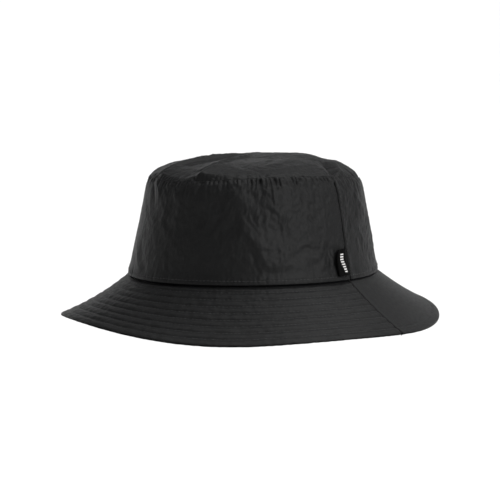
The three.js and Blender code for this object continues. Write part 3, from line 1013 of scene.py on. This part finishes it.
class Nodes:
    """A material under construction, with short calls for the nodes it is made of."""

    def __init__(self, name):
        self.material = bpy.data.materials.new(name)
        self.material.use_nodes = True
        self.tree = self.material.node_tree
        self.shader = self.tree.nodes["Principled BSDF"]

    def add(self, kind, **settings):
        node = self.tree.nodes.new(kind)
        for key, value in settings.items():
            setattr(node, key, value)
        return node

    def link(self, source, target):
        self.tree.links.new(source, target)

    def cloth(self):
        """The cloth's own measures in millimetres, from its UV map."""
        uv = self.add("ShaderNodeUVMap", uv_map="cloth")
        scale = self.add("ShaderNodeVectorMath", operation="SCALE")
        scale.inputs["Scale"].default_value = MAP_UNIT
        self.link(uv.outputs["UV"], scale.inputs[0])
        return scale.outputs[0]

    def solid(self):
        """The object's own coordinates in millimetres."""
        place = self.add("ShaderNodeTexCoord")
        scale = self.add("ShaderNodeVectorMath", operation="SCALE")
        scale.inputs["Scale"].default_value = 1 / MM
        self.link(place.outputs["Object"], scale.inputs[0])
        return scale.outputs[0]

    def math(self, operation, first, second=None):
        node = self.add("ShaderNodeMath", operation=operation)
        for socket, value in zip(node.inputs, (first, second)):
            if value is None:
                continue
            if isinstance(value, (int, float)):
                socket.default_value = value
            else:
                self.link(value, socket)
        return node.outputs[0]

    def noise(self, vector, size, detail=3.0, stretch=(1, 1, 1), roughness=0.55):
        mapping = self.add("ShaderNodeMapping")
        mapping.inputs["Scale"].default_value = [s / size for s in stretch]
        self.link(vector, mapping.inputs["Vector"])
        node = self.add("ShaderNodeTexNoise")
        node.inputs["Scale"].default_value = 1.0
        node.inputs["Detail"].default_value = detail
        node.inputs["Roughness"].default_value = roughness
        self.link(mapping.outputs[0], node.inputs["Vector"])
        return node.outputs["Fac"]

    def parts(self, vector):
        node = self.add("ShaderNodeSeparateXYZ")
        self.link(vector, node.inputs[0])
        return node.outputs[0], node.outputs[1]

    def wave(self, value, turns):
        return self.math("SINE", self.math("MULTIPLY", value, turns))

    def mix(self, first, second, share):
        """first and second added up, with share of the second."""
        return self.math("ADD", self.math("MULTIPLY", first, 1 - share),
                         self.math("MULTIPLY", second, share))

    def plain_weave(self, vector, pitch):
        across, down = self.parts(vector)
        turns = math.pi / pitch
        return self.math("MULTIPLY", self.wave(across, turns), self.wave(down, turns))

    def twill(self, vector, pitch):
        across, down = self.parts(vector)
        turns = 2 * math.pi / pitch
        slope = self.math("ADD", across, self.math("MULTIPLY", down, 1.2))
        return self.math("ADD", self.wave(slope, turns),
                         self.math("MULTIPLY", self.wave(down, 2.6 * turns), 0.3))

    def ramp(self, value, stops):
        node = self.add("ShaderNodeValToRGB")
        ramp = node.color_ramp
        while len(ramp.elements) < len(stops):
            ramp.elements.new(0.5)
        for element, (place, colour) in zip(ramp.elements, stops):
            element.position = place
            element.color = (*colour, 1)
        self.link(value, node.inputs["Fac"])
        return node.outputs["Color"]

    def colour(self, value):
        self.link(value, self.shader.inputs["Base Color"])

    def rough(self, value, low, high):
        self.link(self.span(value, low, high), self.shader.inputs["Roughness"])

    def span(self, value, low, high):
        """value from 0 to 1 turned to lie between low and high."""
        node = self.add("ShaderNodeMapRange")
        node.inputs["To Min"].default_value = low
        node.inputs["To Max"].default_value = high
        self.link(value, node.inputs["Value"])
        return node.outputs["Result"]

    def bump(self, *layers):
        """layers are pairs of a height value and its depth in millimetres."""
        normal = None
        for height, depth in layers:
            node = self.add("ShaderNodeBump")
            node.inputs["Strength"].default_value = 1.0
            node.inputs["Distance"].default_value = depth * MM
            self.link(height, node.inputs["Height"])
            if normal:
                self.link(normal, node.inputs["Normal"])
            normal = node.outputs["Normal"]
        self.link(normal, self.shader.inputs["Normal"])

    def set(self, **values):
        for key, value in values.items():
            self.shader.inputs[key.replace("_", " ")].default_value = value
        return self


def grey(value, warmth=0.0):
    return (value * (1 + warmth), value, value * (1 - warmth))


SHELL_SHINE = 0.115


def shell_cloth(name, dark, light, shine=SHELL_SHINE):
    """Plain woven nylon with slubby yarns and a dry, faint shine."""
    n = Nodes(name)
    n.set(Specular_IOR_Level=shine, Sheen_Weight=0.01, Sheen_Roughness=0.45)
    n.shader.inputs["Sheen Tint"].default_value = (0.8, 0.82, 0.9, 1)
    cloth, solid = n.cloth(), n.solid()
    weave = n.plain_weave(cloth, 0.62)
    weft = n.noise(cloth, 0.75, 2.0, (0.16, 1, 1))
    warp = n.noise(cloth, 0.75, 2.0, (1, 0.16, 1))
    yarn = n.mix(weft, warp, 0.5)
    dye = n.noise(solid, 26, 3.0)
    grain = n.mix(yarn, dye, 0.3)
    n.colour(n.ramp(grain, [(0.34, grey(dark, -0.03)), (0.5, grey((dark + light) / 2, -0.02)),
                            (0.66, grey(light, -0.01))]))
    n.rough(n.noise(cloth, 3.0, 3.0), 0.42, 0.62)
    crimp = n.noise(cloth, 1.7, 3.0, roughness=0.6)
    n.bump((weave, 0.035), (yarn, 0.12), (crimp, 0.16))
    return n.material


def thread_finish():
    n = Nodes("spun_thread")
    n.set(Specular_IOR_Level=0.28, Sheen_Weight=0.02, Sheen_Roughness=0.4)
    solid = n.solid()
    fibre = n.noise(solid, 0.16, 2.0)
    n.colour(n.ramp(fibre, [(0.3, grey(0.009)), (0.7, grey(0.026, -0.02))]))
    n.rough(n.noise(solid, 0.5), 0.38, 0.6)
    n.bump((fibre, 0.05))
    return n.material


def lining_finish():
    n = Nodes("taffeta_lining")
    n.set(Specular_IOR_Level=0.5, Sheen_Weight=0.25, Sheen_Roughness=0.35)
    cloth, solid = n.cloth(), n.solid()
    weave = n.plain_weave(cloth, 0.4)
    yarn = n.noise(cloth, 0.5, 2.0, (0.12, 1, 1))
    shade = n.mix(yarn, n.noise(solid, 20), 0.4)
    n.colour(n.ramp(shade, [(0.35, grey(0.011)), (0.65, grey(0.024, -0.03))]))
    n.rough(n.noise(cloth, 4.0), 0.34, 0.5)
    n.bump((weave, 0.02), (n.noise(cloth, 2.6, 3.0), 0.12))
    return n.material


def band_finish():
    n = Nodes("twill_band")
    n.set(Specular_IOR_Level=0.35, Sheen_Weight=0.3, Sheen_Roughness=0.5)
    cloth, solid = n.cloth(), n.solid()
    ribs = n.twill(cloth, 1.1)
    shade = n.mix(n.span(ribs, 0, 0.5), n.noise(cloth, 1.2, 3.0), 0.6)
    n.colour(n.ramp(shade, [(0.2, grey(0.012)), (0.7, grey(0.03, 0.02))]))
    n.rough(n.noise(solid, 5.0), 0.6, 0.85)
    n.bump((ribs, 0.08), (n.noise(cloth, 0.4, 2.0), 0.05))
    return n.material


def interlining_finish():
    n = Nodes("fused_stiffener")
    n.set(Specular_IOR_Level=0.2)
    solid = n.solid()
    fibre = n.noise(solid, 0.6, 4.0, (1, 0.3, 1))
    n.colour(n.ramp(fibre, [(0.3, grey(0.05)), (0.7, grey(0.09))]))
    n.rough(n.noise(solid, 3.0), 0.8, 0.95)
    n.bump((fibre, 0.1))
    return n.material


TAB_MARKS = 8
MARK_SPAN = (2.6, 17.4)   # along the tab's height
MARK_LEAF = (4.9, 7.9)    # from the seam across the outer leaf, at the tab's foot
MARK_SLANT = 4.6          # how much further out the upper part of the row stands
MARK_BEND = 12.0


def tab_finish():
    """Damask tape: fine black ribs, with a row of plain pale bars woven along the outer leaf."""
    n = Nodes("woven_tab")
    n.set(Specular_IOR_Level=0.02)
    cloth = n.cloth()
    up, along = n.parts(cloth)
    low, high = MARK_SPAN
    pitch = (high - low) / TAB_MARKS
    beat = n.math("FRACT", n.math("DIVIDE", n.math("SUBTRACT", up, low), pitch))
    bar = n.math("LESS_THAN", beat, 0.55)
    inside = n.math("MULTIPLY", n.math("GREATER_THAN", up, low), n.math("LESS_THAN", up, high))
    # the row of bars runs straight up the upper part and slants to the seam below it
    climb = n.math("MINIMUM", n.math("DIVIDE", up, MARK_BEND), 1.0)
    shifted = n.math("SUBTRACT", along, n.math("MULTIPLY", climb, MARK_SLANT))
    leaf = n.math("MULTIPLY", n.math("GREATER_THAN", shifted, MARK_LEAF[0]),
                  n.math("LESS_THAN", shifted, MARK_LEAF[1]))
    mark = n.math("MULTIPLY", n.math("MULTIPLY", bar, inside), leaf)
    yarn = n.noise(cloth, 0.35, 2.0, (1, 0.3, 1))
    black = n.ramp(yarn, [(0.3, grey(0.0015)), (0.7, grey(0.004))])
    pale = n.ramp(yarn, [(0.3, grey(0.42, 0.02)), (0.7, grey(0.68, 0.02))])
    dye = n.add("ShaderNodeMix", data_type="RGBA")
    n.link(mark, dye.inputs["Factor"])
    n.link(black, dye.inputs["A"])
    n.link(pale, dye.inputs["B"])
    n.colour(dye.outputs["Result"])
    n.rough(n.noise(cloth, 2.0), 0.5, 0.7)
    n.bump((n.wave(along, 2 * math.pi / 0.42), 0.05), (mark, 0.05), (yarn, 0.05))
    return n.material


def care_finish():
    n = Nodes("satin_care")
    n.set(Specular_IOR_Level=0.5, Sheen_Weight=0.2, Sheen_Roughness=0.3)
    cloth = n.cloth()
    yarn = n.noise(cloth, 0.3, 2.0, (1, 0.12, 1))
    n.colour(n.ramp(yarn, [(0.3, grey(0.62, 0.01)), (0.7, grey(0.78, 0.015))]))
    n.rough(n.noise(cloth, 3.0), 0.32, 0.5)
    n.bump((n.plain_weave(cloth, 0.3), 0.015), (yarn, 0.03))
    return n.material


finishes = {
    "shell": shell_cloth("nylon_shell", 0.0026, 0.0058),
    # painted shade: the brim's underside is the same nylon as its top, made darker because it lies
    # underneath
    "underside": shell_cloth("nylon_underside", 0.002, 0.0045),
    # painted shade: a near-black, almost unshiny copy of the shell cloth for the rolled edges,
    # which lie in shade
    "turned": shell_cloth("nylon_turned_edge", 0.0003, 0.001, 0.01),
    "lining": lining_finish(),
    "interlining": interlining_finish(),
    "sweatband": band_finish(),
    "thread": thread_finish(),
    "side_label": tab_finish(),
    "care_label": care_finish(),
}

# The shell's edges are rolled in and lie in shade, and that shade is painted: their faces get a
# near-black, almost unshiny copy of the shell cloth.
# For each sort of panel, where its rolled part begins and ends, in millimetres up the wall or down
# the brim.
PAINTED_SHADE_SPANS = {"crown_wall": (-1, 1.7),
          "brim_upper": (BRIM_WIDTH - 0.15, BRIM_WIDTH + 1),
          "brim_lower": (BRIM_WIDTH - BRIM_STACK / 2 + 0.05, BRIM_WIDTH + 1)}


def paint_rolled_edge_shade(piece, low, high):
    """Puts the second finish of a piece, its painted shade, on its faces between two places down
    the cloth.
    """
    mesh = piece.data
    uvs = np.empty(2 * len(mesh.loops), np.float32)
    mesh.uv_layers["cloth"].data.foreach_get("uv", uvs)
    starts = np.empty(len(mesh.polygons), np.int32)
    mesh.polygons.foreach_get("loop_start", starts)
    down = uvs.reshape(-1, 2)[starts, 1] * MAP_UNIT
    mesh.polygons.foreach_set("material_index", ((down > low) & (down < high)).astype(np.int32))
    mesh.update()


for piece in pieces.values():
    panel = piece.name.rsplit("_", 1)[0]
    # the brim's underside takes the darker copy of the shell cloth, which paints the shade under
    # the brim
    finish = "underside" if panel == "brim_lower" else piece["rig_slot"]
    piece.data.materials.append(finishes[finish])
    # the rolled edges get the painted shade
    if panel in PAINTED_SHADE_SPANS:
        piece.data.materials.append(finishes["turned"])
        paint_rolled_edge_shade(piece, *PAINTED_SHADE_SPANS[panel])

# ---------------------------------------------------------------- areas of the plain wall and brim


def half_area(place, reach):
    """Area in square metres of half of the plain wall or brim, which runs reach millimetres."""
    girths = np.linspace(-SIDE_SEAM, SIDE_SEAM, 200)
    points = place(*np.meshgrid(girths, np.linspace(0, reach, 60)))
    a, b = points[1:, 1:] - points[:-1, :-1], points[1:, :-1] - points[:-1, 1:]
    return float(np.linalg.norm(np.cross(a, b), axis=-1).sum() / 2 * MM * MM)


wall_area = half_area(wall_base, CROWN_HEIGHT)
brim_area = half_area(brim_base, BRIM_WIDTH)

# ---------------------------------------------------------------- studio

FLOOR_DROP = 1000.0       # the hat is photographed on a stand well above the floor
FLOOR_REACH = 60000.0
FLOOR_LEVEL = 8000.0      # the paper is level this far out, then rises gently to hide the horizon
FLOOR_RISE = 0.3
FLOOR_CELLS = 48
AIR_LIGHT = 0.22          # strength of the even light from all round
SUN_FROM = (140, 72)      # degrees round from the front, and above level
SUN_STRENGTH = 3.1
SUN_SOFTNESS = 70         # degrees across
SOFTBOXES = (             # name, place, aim and size in metres, and power in watts
    ("key_right", (1.45, -0.1, 0.5), (0, 0, 0.04), (0.6, 0.8), 18),
    ("edge_left", (-1.45, 0.25, 0.5), (0, 0, 0.06), (0.9, 0.9), 0.35),
    ("edge_back", (-1.15, 0.95, 0.5), (0, 0, 0.06), (0.5, 0.5), 0.35),
)
EYE_TURN = 38.5           # degrees round from the front
EYE_AWAY = 1.9714         # metres from the hat's axis
EYE_HEIGHT = 0.2933
EYE_AIM = 0.03            # height of the place it looks at
EYE_ROLL = 0.009
EYE_SHIFT = (-0.0076, -0.0418)
EYE_LENS = 190.3
EYE_SENSOR = 36.0


def direction(turn, rise):
    """Unit vector towards a place turn degrees round from the front and rise degrees up."""
    turn, rise = math.radians(turn), math.radians(rise)
    return Vector((math.sin(turn) * math.cos(rise), -math.cos(turn) * math.cos(rise),
                   math.sin(rise)))


def stand(name, data, place, view):
    """Adds a light or a camera at a place, pointing along view."""
    thing = bpy.data.objects.new(name, data)
    bpy.context.scene.collection.objects.link(thing)
    thing.location = place
    thing.rotation_mode = "QUATERNION"
    thing.rotation_quaternion = view.to_track_quat("-Z", "Y")
    return thing


def floor():
    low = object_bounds()[0].z / MM - FLOOR_DROP
    side = FLOOR_CELLS + 1
    reach = np.linspace(-FLOOR_REACH, FLOOR_REACH, side)
    x, y = np.meshgrid(reach, reach)
    z = low + FLOOR_RISE * np.maximum(0, np.hypot(x, y) - FLOOR_LEVEL)
    cells = np.arange(FLOOR_CELLS)
    first = (cells[:, None] * side + cells).ravel()
    quads = np.stack([first, first + 1, first + side + 1, first + side], 1)
    piece = mesh_object("studio_floor", np.stack([x, y, z], -1).reshape(-1, 3), quads)
    n = Nodes("studio_paper")
    n.set(Specular_IOR_Level=0.1)
    n.colour(n.ramp(n.noise(n.solid(), 40, 4.0), [(0.3, grey(0.86)), (0.7, grey(0.9))]))
    n.rough(n.noise(n.solid(), 3.0), 0.85, 0.95)
    piece.data.materials.append(n.material)
    piece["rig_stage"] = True


def lights():
    scene = bpy.context.scene
    scene.world = bpy.data.worlds.new("studio_air")
    scene.world.use_nodes = True
    air = scene.world.node_tree.nodes["Background"]
    air.inputs["Color"].default_value = (1, 1, 1, 1)
    air.inputs["Strength"].default_value = AIR_LIGHT
    scene.view_settings.view_transform = "Standard"
    sun = bpy.data.lights.new("overhead", "SUN")
    sun.energy = SUN_STRENGTH
    sun.angle = math.radians(SUN_SOFTNESS)
    stand("overhead", sun, (0, 0, 0), -direction(*SUN_FROM))
    for name, place, aim, size, power in SOFTBOXES:
        light = bpy.data.lights.new(name, "AREA")
        light.shape = "RECTANGLE"
        light.size, light.size_y = size
        light.energy = power
        stand(name, light, place, Vector(aim) - Vector(place))


def camera():
    data = bpy.data.cameras.new("photo_camera")
    data.lens = EYE_LENS
    data.sensor_width = EYE_SENSOR
    data.shift_x, data.shift_y = EYE_SHIFT
    data.clip_start = 0.05
    data.clip_end = 100
    place = direction(EYE_TURN, 0) * EYE_AWAY + Vector((0, 0, EYE_HEIGHT))
    eye = stand("photo_camera", data, place, Vector((0, 0, EYE_AIM)) - place)
    eye.rotation_quaternion @= Matrix.Rotation(EYE_ROLL, 3, "Z").to_quaternion()
    bpy.context.scene.camera = eye


floor()
lights()
camera()
